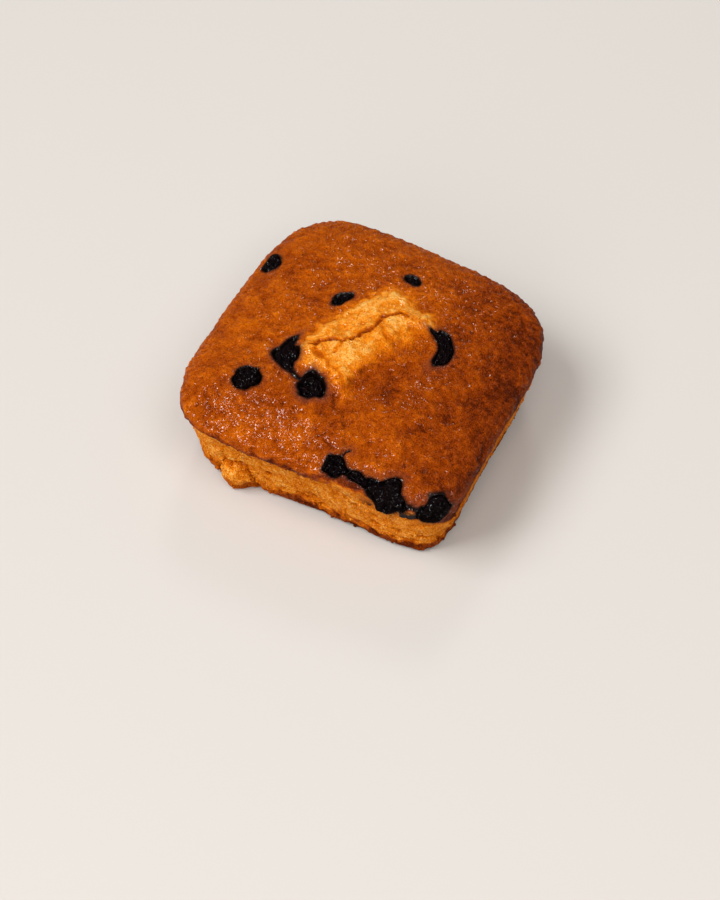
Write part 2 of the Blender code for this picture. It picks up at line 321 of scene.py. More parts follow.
juiceSeams = [  # thin cracks that juice has run into, from above
    dict(line=[(-16.2, -19.4), (-14.0, -20.2), (-12.4, -21.6), (-9.5, -22.6)], width=1.0),
    dict(line=[(13.6, -42.5), (15.5, -42.8)], width=0.7),
    dict(line=[(20.0, -43.4), (22.4, -43.6)], width=0.6),
    dict(line=[(31.5, -44.0), (34.0, -43.8), (37.5, -43.6)], width=0.4),
    dict(line=[(11.0, -40.2), (11.6, -37.6), (12.6, -36.6)], width=0.4),
]
berryMesh = dict(
    segments=88,
    rings=48,
    wrinkle=0.11,
    wrinkleSize=0.42,
    wrinkleAcross=0.2,  # share of the wrinkles that moves the outline
    wrinkleUnder=0.3,
    collapse=0.26,
    collapseWidth=0.55,
    ragged=0.05,
)
pocket = dict(gap=0.25, floorDrop=0.15, middle=0.25, reachFrom=0.55, reachTo=0.75, stain=0.38, wet=0.16)
seamLook = dict(depth=0.6, stain=0.6, stainWidth=1.6, lowest=20.0)


def berryOutline(look, angle):
    # A burst skin is cornered, and a bit ragged too.
    ragged = np.cos(3 * angle + look["turn"]) + 0.8 * np.cos(5 * angle + 2.3 * look["turn"])
    ragged = ragged + 0.6 * np.cos(8 * angle + 3.1 * look["turn"])
    return 1 + look["sharp"] * np.cos(look["corners"] * angle) + berryMesh["ragged"] * ragged


def berryWidth(look, u):
    # How the width and the middle line change along the berry.
    wide = 1 + look.get("grow", 0.0) * u - look.get("waist", 0.0) * (1 - np.clip(u**2, 0, 1))
    return wide, look.get("bend", 0.0) * u**2


def berryFrame(look, normal):
    turn = math.radians(look["turn"])
    along = Vector((math.cos(turn), math.sin(turn), 0))
    across = normal.cross(along).normalized()
    along = across.cross(normal)
    return Matrix((along, across, normal)).transposed().to_4x4()


def berryPoints(look, seed):
    # Local points of a baked, shrunken berry: its length on X, its depth on Z.
    half = np.array([look["length"], look["width"], look["depth"]]) / 2
    rows = []
    for k in range(1, berryMesh["rings"]):
        lift = -math.pi / 2 + math.pi * k / berryMesh["rings"]
        angle = np.linspace(0, 2 * math.pi, berryMesh["segments"], endpoint=False)
        out = math.cos(lift) * berryOutline(look, angle)
        w = np.full(len(angle), math.sin(lift))
        rows.append(np.stack([out * np.cos(angle), out * np.sin(angle), w], 1))
    points = np.concatenate([[[0, 0, -1.0]], *rows, [[0, 0, 1.0]]])
    shift = Vector((seed * 3.1, seed * 7.7, 1.3))
    ridge = np.array([noise.ridged_multi_fractal(Vector(p) / berryMesh["wrinkleSize"] + shift, 0.9, 2.1, 4,
                                                 1.0, 2.0) for p in points])
    ridge = (ridge - ridge.mean()) / (ridge.std() + 1e-6)
    points[:, :2] *= 1 + berryMesh["wrinkle"] * berryMesh["wrinkleAcross"] * ridge[:, None]
    middle = np.hypot(points[:, 0], points[:, 1]) / berryMesh["collapseWidth"]
    sink = berryMesh["collapse"] * np.exp(-(middle**2))
    upper = points[:, 2] > 0
    points[:, 2] = np.where(upper, points[:, 2] * look["top"] - sink, points[:, 2])
    points[:, 2] += berryMesh["wrinkle"] * ridge * np.where(upper, 1.0, berryMesh["wrinkleUnder"])
    wide, middle = berryWidth(look, points[:, 0])
    points[:, 1] = points[:, 1] * wide + middle / half[1]
    return points * half, ridge


def berryFaces():
    count, rows = berryMesh["segments"], berryMesh["rings"] - 1
    faces = []
    for row in range(rows - 1):
        for i in range(count):
            j = (i + 1) % count
            a, b = 1 + row * count, 1 + (row + 1) * count
            faces.append((a + i, a + j, b + j, b + i))
    top = rows * count + 1
    for i in range(count):
        j = (i + 1) % count
        faces.append((0, 1 + j, 1 + i))
        faces.append((top, top - count + i, top - count + j))
    return faces


def pocketPlace(local, look):
    # Where a local point is across the pocket, and how far out: 1 on the pocket's edge.
    half = np.array([look["length"], look["width"]]) / 2 + pocket["gap"]
    u = local[:, 0] / half[0]
    wide, middle = berryWidth(look, u)
    v = (local[:, 1] - middle) / half[1] / wide.clip(0.3)
    return u, v, np.hypot(u, v) / berryOutline(look, np.arctan2(v, u))


def pocketPoint(u, v, look):
    half = np.array([look["length"], look["width"]]) / 2 + pocket["gap"]
    wide, middle = berryWidth(look, u)
    return u * half[0], v * half[1] * wide.clip(0.3) + middle


# Geometry and shader trees are wired with the same small helpers.
def addNode(tree, kind, inputs=None, **settings):
    node = tree.nodes.new(kind)
    for key, value in settings.items():
        setattr(node, key, value)
    for key, value in (inputs or {}).items():
        if isinstance(value, bpy.types.NodeSocket):
            tree.links.new(value, node.inputs[key])
        else:
            node.inputs[key].default_value = value
    return node


def calc(tree, operation, first, second=0.0, third=0.0):
    inputs = {0: first, 1: second}
    if operation == "MULTIPLY_ADD":
        inputs[2] = third
    return addNode(tree, "ShaderNodeMath", inputs, operation=operation).outputs[0]


def remap(tree, value, fromLow, fromHigh, toLow, toHigh, kind="SMOOTHSTEP"):
    node = addNode(tree, "ShaderNodeMapRange", {0: value, 1: fromLow, 2: fromHigh, 3: toLow, 4: toHigh},
                   interpolation_type=kind)
    return node.outputs[0]


def newTree(name, kind, inputs, outputs):
    tree = bpy.data.node_groups.new(name, kind)
    for label, socket, default in inputs:
        made = tree.interface.new_socket(name=label, in_out="INPUT", socket_type=socket)
        if default is not None:
            made.default_value = default
    for label, socket in outputs:
        tree.interface.new_socket(name=label, in_out="OUTPUT", socket_type=socket)
    return tree, tree.nodes.new("NodeGroupInput"), tree.nodes.new("NodeGroupOutput")


def applyTree(thing, tree, values, target=None):
    # Runs a geometry tree on a thing, and keeps the result as its plain mesh, or as a new piece.
    modifier = thing.modifiers.new(tree.name, "NODES")
    modifier.node_group = tree
    for item in tree.interface.items_tree:
        if item.in_out == "INPUT" and item.name in values:
            modifier[item.identifier] = values[item.name]
    graph = bpy.context.evaluated_depsgraph_get()
    mesh = bpy.data.meshes.new_from_object(thing.evaluated_get(graph), preserve_all_data_layers=True,
                                           depsgraph=graph)
    thing.modifiers.clear()
    if target is None:
        thing.data = mesh
        return thing
    made = bpy.data.objects.new(target, mesh)
    mesh.name = target
    bpy.context.scene.collection.objects.link(made)
    return made


# The grain of the crust and crumb, in geometry and metres.
relief = {
    "Swell Size": 0.0055,
    "Swell Depth": 0.0012,
    "Grain Size": 0.0015,
    "Grain Depth": 0.00095,
    "Crumb Size": 0.0019,
    "Crumb Depth": 0.0017,
    "Pore Size": 0.0034,
    "Pore Depth": 0.0013,
    "Pebble Size": 0.0016,
    "Pebble Depth": 0.00062,
    "Pit Size": 0.0026,
    "Pit Depth": 0.00075,
    "Seed": 4.0,
}
crustPits = dict(share=0.45, reach=0.32)  # share of the cells that hold one, and its width
crumbPores = dict(share=0.5, reach=0.38)


def noiseOf(tree, position, size, seed, detail=3.0, rough=0.55):
    scale = calc(tree, "DIVIDE", 1.0, size)
    node = addNode(tree, "ShaderNodeTexNoise", {"Vector": position, "W": seed, "Scale": scale,
                                                "Detail": detail, "Roughness": rough}, noise_dimensions="4D")
    return calc(tree, "SUBTRACT", node.outputs[0], 0.5)


def pitsOf(tree, position, size, seed, share, reach):
    # Round pits in a share of the cells, 1 in the middle of each.
    scale = calc(tree, "DIVIDE", 1.0, size)
    cells = addNode(tree, "ShaderNodeTexVoronoi", {"Vector": position, "W": seed, "Scale": scale},
                    voronoi_dimensions="4D")
    split = addNode(tree, "FunctionNodeSeparateColor", {0: cells.outputs["Color"]})
    radius = calc(tree, "MULTIPLY", split.outputs[1], reach)
    radius = calc(tree, "ADD", radius, reach * 0.4)
    gap = calc(tree, "DIVIDE", cells.outputs["Distance"], radius)
    pit = remap(tree, gap, 0.0, 1.0, 1.0, 0.0)
    keep = remap(tree, split.outputs[0], 1 - share, 1 - share + 0.05, 0.0, 1.0)
    return calc(tree, "MULTIPLY", pit, keep)


def fieldNode(tree, name):
    return addNode(tree, "GeometryNodeInputNamedAttribute", {"Name": name}, data_type="FLOAT").outputs[0]


def crumbReliefTree():
    inputs = [("Geometry", "NodeSocketGeometry", None)]
    inputs += [(label, "NodeSocketFloat", value) for label, value in relief.items()]
    inputs += [("Material", "NodeSocketMaterial", None)]
    tree, start, end = newTree("crumbRelief", "GeometryNodeTree", inputs,
                               [("Geometry", "NodeSocketGeometry")])
    put = start.outputs
    here = addNode(tree, "GeometryNodeInputPosition").outputs[0]
    out = addNode(tree, "GeometryNodeInputNormal").outputs[0]
    seed = put["Seed"]
    crust = fieldNode(tree, "crust")
    free = fieldNode(tree, "free")
    soft = calc(tree, "SUBTRACT", 1.0, crust)
    swell = calc(tree, "MULTIPLY", noiseOf(tree, here, put["Swell Size"], seed, 2.0), put["Swell Depth"])
    grain = calc(tree, "MULTIPLY", noiseOf(tree, here, put["Grain Size"], seed, 2.0), put["Grain Depth"])
    pits = calc(tree, "MULTIPLY", pitsOf(tree, here, put["Pit Size"], seed, **crustPits), put["Pit Depth"])
    pebbles = addNode(tree, "ShaderNodeTexVoronoi", {"Vector": here, "W": seed,
                                                     "Scale": calc(tree, "DIVIDE", 1.0, put["Pebble Size"])},
                      voronoi_dimensions="4D")
    pebble = calc(tree, "SUBTRACT", 0.5, pebbles.outputs["Distance"])
    grain = calc(tree, "MULTIPLY_ADD", pebble, put["Pebble Depth"], grain)
    crustRelief = calc(tree, "MULTIPLY", calc(tree, "SUBTRACT", grain, pits), crust)
    crumb = noiseOf(tree, here, put["Crumb Size"], seed, 3.0, 0.62)
    crumb = calc(tree, "MULTIPLY", crumb, put["Crumb Depth"])
    pores = pitsOf(tree, here, put["Pore Size"], seed, **crumbPores)
    pores = calc(tree, "MULTIPLY", pores, put["Pore Depth"])
    crumbRelief = calc(tree, "MULTIPLY", calc(tree, "SUBTRACT", crumb, pores), soft)
    total = calc(tree, "ADD", swell, calc(tree, "ADD", crustRelief, crumbRelief))
    total = calc(tree, "MULTIPLY", total, free)
    shift = addNode(tree, "ShaderNodeVectorMath", {0: out, 3: total}, operation="SCALE").outputs[0]
    stored = addNode(tree, "GeometryNodeStoreNamedAttribute",
                     {"Geometry": put["Geometry"], "Name": "relief",
                      "Value": calc(tree, "MULTIPLY", total, 1000.0)}, data_type="FLOAT", domain="POINT")
    moved = addNode(tree, "GeometryNodeSetPosition", {"Geometry": stored.outputs[0], "Offset": shift})
    real = addNode(tree, "GeometryNodeRealizeInstances", {0: moved.outputs[0]})
    done = addNode(tree, "GeometryNodeSetMaterial",
                   {"Geometry": real.outputs[0], "Material": put["Material"]})
    tree.links.new(done.outputs[0], end.inputs[0])
    return tree


# Loose crumbs, each a small rough lump pressed on the torn face.
looseCrumbs = {
    "Density": 560000.0,  # for each square metre
    "Smallest": 0.00018,
    "Largest": 0.00062,
    "Seed": 11,
}
crumbLump = dict(segments=7, rings=5, roughScale=2200.0, roughDepth=0.0006)


def looseCrumbsTree():
    inputs = [("Geometry", "NodeSocketGeometry", None)]
    inputs += [(label, "NodeSocketFloat", looseCrumbs[label]) for label in ("Density", "Smallest", "Largest")]
    inputs += [("Seed", "NodeSocketInt", looseCrumbs["Seed"]), ("Material", "NodeSocketMaterial", None)]
    tree, start, end = newTree("looseCrumbs", "GeometryNodeTree", inputs,
                               [("Geometry", "NodeSocketGeometry")])
    put = start.outputs
    density = calc(tree, "MULTIPLY", fieldNode(tree, "crumbly"), put["Density"])
    spots = addNode(tree, "GeometryNodeDistributePointsOnFaces",
                    {"Mesh": put["Geometry"], "Density": density, "Seed": put["Seed"]})
    ball = addNode(tree, "GeometryNodeMeshUVSphere",
                   {"Radius": 1.0, "Segments": crumbLump["segments"], "Rings": crumbLump["rings"]})
    spin = addNode(tree, "FunctionNodeRandomValue", {0: (0, 0, 0), 1: (6.3, 6.3, 6.3), "Seed": put["Seed"]},
                   data_type="FLOAT_VECTOR")  # any turn
    big = addNode(tree, "FunctionNodeRandomValue",
                  {2: put["Smallest"], 3: put["Largest"], "Seed": put["Seed"]}, data_type="FLOAT")
    placed = addNode(tree, "GeometryNodeInstanceOnPoints",
                     {"Points": spots.outputs[0], "Instance": ball.outputs[0],
                      "Rotation": spin.outputs[0], "Scale": big.outputs[1]})
    real = addNode(tree, "GeometryNodeRealizeInstances", {0: placed.outputs[0]})
    here = addNode(tree, "GeometryNodeInputPosition").outputs[0]
    rough = addNode(tree, "ShaderNodeTexNoise",
                    {"Vector": here, "Scale": crumbLump["roughScale"], "Detail": 1.0})
    jolt = addNode(tree, "ShaderNodeVectorMath", {0: rough.outputs[1], 1: (0.5, 0.5, 0.5)},
                   operation="SUBTRACT")
    jolt = addNode(tree, "ShaderNodeVectorMath", {0: jolt.outputs[0], 3: crumbLump["roughDepth"]},
                   operation="SCALE")
    moved = addNode(tree, "GeometryNodeSetPosition", {"Geometry": real.outputs[0], "Offset": jolt.outputs[0]})
    smooth = addNode(tree, "GeometryNodeSetShadeSmooth", {"Geometry": moved.outputs[0]})
    done = addNode(tree, "GeometryNodeSetMaterial",
                   {"Geometry": smooth.outputs[0], "Material": put["Material"]})
    tree.links.new(done.outputs[0], end.inputs[0])
    return tree


# Finishes.
bakeTones = [  # from hardly coloured to nearly burnt, in ordinary screen values
    (0.00, (253, 184, 92)),
    (0.14, (245, 147, 34)),
    (0.30, (224, 116, 8)),
    (0.45, (200, 95, 4)),
    (0.60, (174, 76, 3)),
    (0.75, (149, 59, 2)),
    (0.90, (118, 42, 2)),
    (1.00, (84, 27, 2)),
]
juiceTones = dict(stain=(118, 56, 34), wet=(14, 5, 4))
berryTones = [(0.0, (5, 2, 3)), (0.6, (13, 5, 6)), (0.82, (34, 14, 14)), (1.0, (78, 38, 30))]


def fillRamp(node, tones):
    ramp = node.color_ramp
    while len(ramp.elements) < len(tones):
        ramp.elements.new(0.5)
    for element, (position, rgb) in zip(ramp.elements, tones):
        element.position = position
        element.color = toLinear(rgb)
    return node.outputs[0]


def fineGrainGroup():
    # A fine uneven grain: Height for bump, and Fleck for colour and gloss.
    tree, start, end = newTree("fineGrain", "ShaderNodeTree",
                               [("Vector", "NodeSocketVector", None), ("Size", "NodeSocketFloat", 0.0008),
                                ("Pits", "NodeSocketFloat", 0.5)],
                               [("Height", "NodeSocketFloat"), ("Fleck", "NodeSocketFloat")])
    scale = calc(tree, "DIVIDE", 1.0, start.outputs["Size"])
    fine = addNode(tree, "ShaderNodeTexNoise", {"Vector": start.outputs["Vector"], "Scale": scale,
                                                "Detail": 4.0, "Roughness": 0.65})
    wide = addNode(tree, "ShaderNodeTexNoise", {"Vector": start.outputs["Vector"], "Detail": 3.0,
                                                "Scale": calc(tree, "MULTIPLY", scale, 0.23)})
    cells = addNode(tree, "ShaderNodeTexVoronoi", {"Vector": start.outputs["Vector"],
                                                   "Scale": calc(tree, "MULTIPLY", scale, 0.7)})
    hole = remap(tree, cells.outputs["Distance"], 0.0, 0.45, 1.0, 0.0)
    hole = calc(tree, "MULTIPLY", hole, start.outputs["Pits"])
    height = calc(tree, "SUBTRACT", fine.outputs[0], hole)
    tree.links.new(height, end.inputs["Height"])
    sharp = remap(tree, fine.outputs[0], 0.3, 0.7, -1.0, 1.0, "LINEAR")
    soft = remap(tree, wide.outputs[0], 0.3, 0.7, -0.12, 0.12, "LINEAR")
    tree.links.new(calc(tree, "ADD", sharp, soft), end.inputs["Fleck"])
    return tree


def bakedColourGroup():
    # Colour of baked cake from how far it is browned, with painted shade added, and with berry juice soaked
    # in.
    tree, start, end = newTree("bakedColour", "ShaderNodeTree",
                               [("ToastAndShade", "NodeSocketFloat", 0.4), ("Stain", "NodeSocketFloat", 0.0),
                                ("Wet", "NodeSocketFloat", 0.0), ("Fleck", "NodeSocketFloat", 0.0),
                                ("Contrast", "NodeSocketFloat", 0.15)],
                               [("Color", "NodeSocketColor")])
    lighter = calc(tree, "MULTIPLY", start.outputs["Contrast"], -1.0)
    toastAndShade = calc(tree, "MULTIPLY_ADD", start.outputs["Fleck"], lighter, start.outputs["ToastAndShade"])
    ramp = tree.nodes.new("ShaderNodeValToRGB")
    tree.links.new(toastAndShade, ramp.inputs[0])
    colour = fillRamp(ramp, bakeTones)
    stained = addNode(tree, "ShaderNodeMix", {0: start.outputs["Stain"], 6: colour,
                                              7: toLinear(juiceTones["stain"])}, data_type="RGBA")
    wet = addNode(tree, "ShaderNodeMix", {0: start.outputs["Wet"], 6: stained.outputs[2],
                                          7: toLinear(juiceTones["wet"])}, data_type="RGBA")
    tree.links.new(wet.outputs[2], end.inputs["Color"])
    return tree


def newMaterial(name):
    material = bpy.data.materials.new(name)
    material.use_nodes = True
    tree = material.node_tree
    here = tree.nodes.new("ShaderNodeTexCoord").outputs["Object"]
    return material, tree, tree.nodes["Principled BSDF"], here


def attribute(tree, name):
    return addNode(tree, "ShaderNodeAttribute", attribute_name=name).outputs["Fac"]


cakeFinish = dict(
    grain=0.00042,
    pits=0.45,
    bump=1.0,
    bumpHeight=0.0011,
    crustRough=0.46,
    crumbRough=0.66,
    fleckRough=0.12,
    wetRough=0.30,
    fleck=0.18,  # contrast of the fine grain in the crust's colour
    crumbFleck=0.28,
    reliefShade=0.42,  # painted shade: hollows of the relief are drawn darker than high spots
    scatter=0.05,
    scatterRadius=0.0010,
    scatterTint=(1.0, 0.35, 0.12),
    shine=0.02,
    glintFrom=0.32,
    glintTo=0.72,
    glintRough=0.14,
    glintIor=1.7,
    crumbGlint=0.3,
    damp=0.04,
)


def cakeMaterial(fineGrain, bakedColour):
    material, tree, shader, here = newMaterial("bakedCake")
    look = cakeFinish
    grain = addNode(tree, "ShaderNodeGroup", node_tree=fineGrain)
    tree.links.new(here, grain.inputs["Vector"])
    grain.inputs["Size"].default_value = look["grain"]
    grain.inputs["Pits"].default_value = look["pits"]
    colour = addNode(tree, "ShaderNodeGroup", node_tree=bakedColour)
    # painted shade: the colour darkens in the hollows of the relief
    raised = attribute(tree, "relief")
    toastAndShade = calc(tree, "MULTIPLY_ADD", raised, -look["reliefShade"], attribute(tree, "toastAndShade"))
    wet = attribute(tree, "wet")
    tree.links.new(toastAndShade, colour.inputs["ToastAndShade"])
    tree.links.new(attribute(tree, "stain"), colour.inputs["Stain"])
    tree.links.new(wet, colour.inputs["Wet"])
    tree.links.new(grain.outputs["Fleck"], colour.inputs["Fleck"])
    contrast = calc(tree, "MULTIPLY_ADD", attribute(tree, "crust"), look["fleck"] - look["crumbFleck"],
                    look["crumbFleck"])
    tree.links.new(contrast, colour.inputs["Contrast"])
    tree.links.new(colour.outputs["Color"], shader.inputs["Base Color"])
    rough = calc(tree, "MULTIPLY_ADD", attribute(tree, "crust"), look["crustRough"] - look["crumbRough"],
                 look["crumbRough"])
    rough = calc(tree, "MULTIPLY_ADD", grain.outputs["Fleck"], look["fleckRough"], rough)
    wetRough = calc(tree, "MULTIPLY", wet, calc(tree, "SUBTRACT", look["wetRough"], rough))
    tree.links.new(calc(tree, "ADD", rough, wetRough), shader.inputs["Roughness"])
    bump = addNode(tree, "ShaderNodeBump", {"Strength": look["bump"], "Distance": look["bumpHeight"],
                                            "Height": grain.outputs["Height"]})
    tree.links.new(bump.outputs[0], shader.inputs["Normal"])
    glint = remap(tree, grain.outputs["Fleck"], look["glintFrom"], look["glintTo"], 0.0, 1.0)
    glossy = calc(tree, "MULTIPLY_ADD", attribute(tree, "crust"), 1 - look["crumbGlint"], look["crumbGlint"])
    glint = calc(tree, "MULTIPLY", glint, glossy)
    damp = calc(tree, "MULTIPLY", wet, look["damp"])
    tree.links.new(calc(tree, "MAXIMUM", glint, damp), shader.inputs["Coat Weight"])
    shader.inputs["Coat Roughness"].default_value = look["glintRough"]
    shader.inputs["Coat IOR"].default_value = look["glintIor"]
    shader.inputs["Specular IOR Level"].default_value = look["shine"]
    shader.inputs["Subsurface Weight"].default_value = look["scatter"]
    shader.inputs["Subsurface Radius"].default_value = look["scatterTint"]
    shader.inputs["Subsurface Scale"].default_value = look["scatterRadius"]
    return material


berryFinish = dict(
    grain=0.0007,
    pits=0.6,
    bump=0.8,
    bumpHeight=0.0008,
    tintScale=380.0,
    tintSpan=1.1,
    tintFrom=-0.25,
    ridgeTint=0.16,
    rough=(0.30, 0.45),
    shine=0.02,
    glintFrom=0.35,
    glintTo=0.80,
    glintMost=0.9,
    glintRough=0.09,
)


def berryMaterial(fineGrain):
    material, tree, shader, here = newMaterial("bakedBerry")
    look = berryFinish
    grain = addNode(tree, "ShaderNodeGroup", node_tree=fineGrain)
    tree.links.new(here, grain.inputs["Vector"])
    grain.inputs["Size"].default_value = look["grain"]
    grain.inputs["Pits"].default_value = look["pits"]
    tint = addNode(tree, "ShaderNodeTexNoise", {"Vector": here, "Scale": look["tintScale"], "Detail": 3.0})
    place = calc(tree, "MULTIPLY_ADD", tint.outputs[0], look["tintSpan"], look["tintFrom"])
    place = calc(tree, "MULTIPLY_ADD", attribute(tree, "ridge"), look["ridgeTint"], place)
    ramp = tree.nodes.new("ShaderNodeValToRGB")
    tree.links.new(place, ramp.inputs[0])
    tree.links.new(fillRamp(ramp, berryTones), shader.inputs["Base Color"])
    tree.links.new(remap(tree, tint.outputs[0], 0.35, 0.65, *look["rough"]), shader.inputs["Roughness"])
    bump = addNode(tree, "ShaderNodeBump", {"Strength": look["bump"], "Distance": look["bumpHeight"],
                                            "Height": grain.outputs["Height"]})
    tree.links.new(bump.outputs[0], shader.inputs["Normal"])
    glint = remap(tree, grain.outputs["Fleck"], look["glintFrom"], look["glintTo"], 0.0, look["glintMost"])
    tree.links.new(glint, shader.inputs["Coat Weight"])
    shader.inputs["Coat Roughness"].default_value = look["glintRough"]
    shader.inputs["Specular IOR Level"].default_value = look["shine"]
    return material


floorLook = dict(tone=(182, 175, 168), rough=0.6)


def floorMaterial():
    material, tree, shader, here = newMaterial("paleFloor")
    shader.inputs["Base Color"].default_value = toLinear(floorLook["tone"])
    shader.inputs["Roughness"].default_value = floorLook["rough"]
    return material


# How far each part of the cake is browned, from 0 to 1, with painted shade added: in cracks, towards the
# right side away from the light, and under the crust's edge.
browningAndShade = dict(
    crust=0.60,
    rightShade=0.26,  # painted shade, added towards the right, the side away from the light
    rightFrom=8.0,
    rightTo=46.0,
    pale=0.48,  # taken off where the top split
    # painted shade in the cracks: on the crust, and more in the pale split
    crackTop=0.25,
    crackPale=0.4,
    wide=0.06,
    wideSize=13.0,
    small=0.04,
    smallSize=3.0,
    crumb=0.22,
    # painted shade in the tears of the crumb face
    crackCrumb=0.3,
    sides=0.12,
    foot=0.92,
    footHeight=7.0,
    footRagged=3.0,
    footLeft=0.45,
    rim=0.35,  # dark line along the crust's lower edge: browning, with painted shadow under the overhanging crust
    rimWidth=1.2,
    rimUp=0.8,
)
paleFlank = dict(x=9.0, y=1.5, less=0.45, along=6.0, across=4.0, turn=70.0)
shadeAndBrownSpots = [  # where it is darker: painted shade in the hollow beside the peak, in the front crease and on the slope down to it, and further browning on the front swelling
    dict(x=14.0, y=-10.5, more=0.15, along=13.0, across=5.5, turn=55.0),
    dict(x=-21.0, y=-33.0, more=0.09, along=16.0, across=8.0, turn=5.0),
    dict(x=3.5, y=-31.0, more=0.13, along=8.0, across=3.0, turn=-60.0),
    dict(x=-9.0, y=-28.0, more=0.10, along=9.0, across=4.0, turn=10.0),
    dict(x=16.0, y=-28.0, more=0.05, along=14.0, across=12.0),
]
crustReach = dict(level=20.5, front=2.8, frontRight=2.0, cornerDrop=11.5, ragged=1.4)


def crustEdge(x, y):
    # The height down to which the dark crust reaches, round the side.
    front = blend(0.55, 0.92, -y / plan["halfY"])
    level = crustReach["level"] + front * (crustReach["front"] + crustReach["frontRight"] * blend(4, 12, x))
    return level - crustReach["cornerDrop"] * blend(37, 44, x) * blend(20, 36, -y)


crackPath = dict(warpSize=3.0, wander=0.9, jagged=0.5, jagSize=1.1, tearWander=0.8, stepFrom=2.0, stepTo=9.0)


def cutCracks(points, isTop, warp):
    # Opens the cracks and tears. Returns how deep each point lies in one, which later darkens it as painted
    # shade.
    jag = cloud(points, crackPath["jagSize"], 5, 2), cloud(points, crackPath["jagSize"], 6, 2)
    x = points[:, 0] + crackPath["wander"] * warp[0] + crackPath["jagged"] * jag[0]
    y = points[:, 1] + crackPath["wander"] * warp[1] + crackPath["jagged"] * jag[1]
    swelled = blend(-0.5, splitTop["roll"], insideBy(x, y, splitTop["outline"])) * isTop
    points[:, 2] += splitTop["rise"] * swelled
    shade = np.zeros(len(points))
    for crack in cracks:
        gap, side = awayFromLine(x, y, crack["line"])
        cut = np.exp(-((gap / crack["width"]) ** 2)) * isTop
        puff = np.exp(-((gap / crack.get("puffWidth", 2.0)) ** 2)) * isTop
        roll = (1 - np.exp(-gap / crackPath["stepFrom"])) * np.exp(-gap / crackPath["stepTo"])
        roll = roll * (side < 0) * isTop
        points[:, 2] += crack.get("puff", 0.0) * puff - crack["depth"] * cut + crack.get("step", 0.0) * roll
        shade = np.maximum(shade, cut * min(1.0, crack["depth"]))
    front = ~isTop & (points[:, 1] < -0.7 * plan["halfY"])
    x = points[:, 0] + crackPath["tearWander"] * warp[0]
    z = points[:, 2] + crackPath["tearWander"] * warp[1]
    for tear in tears:
        gap, side = awayFromLine(x, z, tear["line"])
        cut = np.exp(-((gap / tear["width"]) ** 2)) * front
        points[:, 1] += tear["depth"] * cut
        shade = np.maximum(shade, cut * min(1.0, tear["depth"]))
    return shade


def cutPockets(points, faces, placed):
    # Sinks the cake under each berry. Returns how stained and how wet it is near them.
    stain = np.zeros(len(points))
    wet = np.zeros(len(points))
    for name, (place, look) in placed.items():
        turn = np.array(place.to_3x3())
        local = (points - np.array(place.translation)) @ turn
        u, v, inside = pocketPlace(local, look)
        away = np.abs(local[:, 2] - pocket["middle"] * look["depth"]) / look["depth"]
        near = 1 - blend(pocket["reachFrom"], pocket["reachTo"], away)
        bowl = np.sqrt(np.clip(1 - inside**2, 0, 1))
        floor = -(look["depth"] / 2 + pocket["gap"]) * bowl - pocket["floorDrop"]
        sunk = (near > 0.5) & (inside < 1) & (local[:, 2] > floor)
        local[sunk, 2] = floor[sunk]
        # Points just outside the edge are drawn onto it, so that it stays clean.
        rim = np.zeros(len(points), bool)
        rim[faces[sunk[faces].any(1)].ravel()] = True
        rim &= inside > 1
        x, y = pocketPoint(u / inside.clip(0.001), v / inside.clip(0.001), look)
        local[rim, 0], local[rim, 1] = x[rim], y[rim]
        inside[rim] = 1.0
        moved = rim | sunk
        points[moved] = local[moved] @ turn.T + np.array(place.translation)
        reach = np.exp(-((np.clip(inside - 1, 0, None) / pocket["stain"]) ** 2)) * near
        stain = np.maximum(stain, look["halo"] * reach)
        wet = np.maximum(wet, (1 - blend(1.0, 1.0 + pocket["wet"], inside)) * near)
    x, y = points[:, 0], points[:, 1]
    for seam in juiceSeams:
        gap, side = awayFromLine(x, y, seam["line"])
        ran = (1 - blend(0.6, 1.3, gap / seam["width"])) * (points[:, 2] > seamLook["lowest"])
        points[:, 2] -= seamLook["depth"] * ran
        wet = np.maximum(wet, ran)
        soaked = seamLook["stain"] * np.exp(-((gap / seamLook["stainWidth"]) ** 2))
        stain = np.maximum(stain, soaked * (points[:, 2] > seamLook["lowest"]))
    return stain, wet


